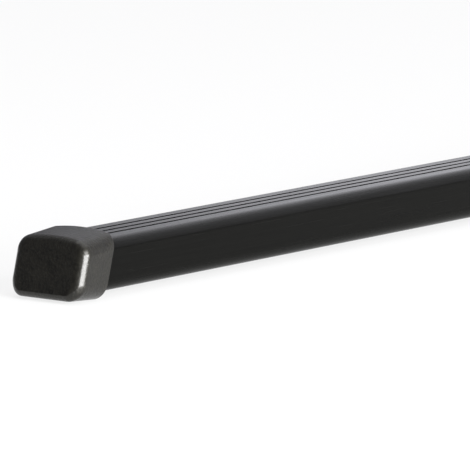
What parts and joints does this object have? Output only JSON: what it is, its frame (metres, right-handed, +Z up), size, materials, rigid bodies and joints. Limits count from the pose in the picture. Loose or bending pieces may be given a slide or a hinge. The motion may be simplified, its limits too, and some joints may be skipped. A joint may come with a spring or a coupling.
{
  "type": "roof rack crossbar",
  "caption": "Straight black roof rack crossbar: a plastic-coated rectangular steel tube with grip grooves along its top and slanted push-on end caps.",
  "frame": {"origin": "middle of the bar's length and width, on the plane that the two end caps stand on", "axes": "+X along the bar, +Y across its width, +Z up through its grooved top"},
  "size_m": [1.2878, 0.0376, 0.028],
  "materials": {
    "steel": "plain galvanised box tube",
    "coat_plastic": "smooth satin black extruded coat",
    "cap_plastic": "fine-grained black moulding"
  },
  "bodies": {
    "root": {"steel_tube": "steel", "bar_coat": "coat_plastic", "left_end_cap": "cap_plastic", "right_end_cap": "cap_plastic"}
  },
  "joints": []
}
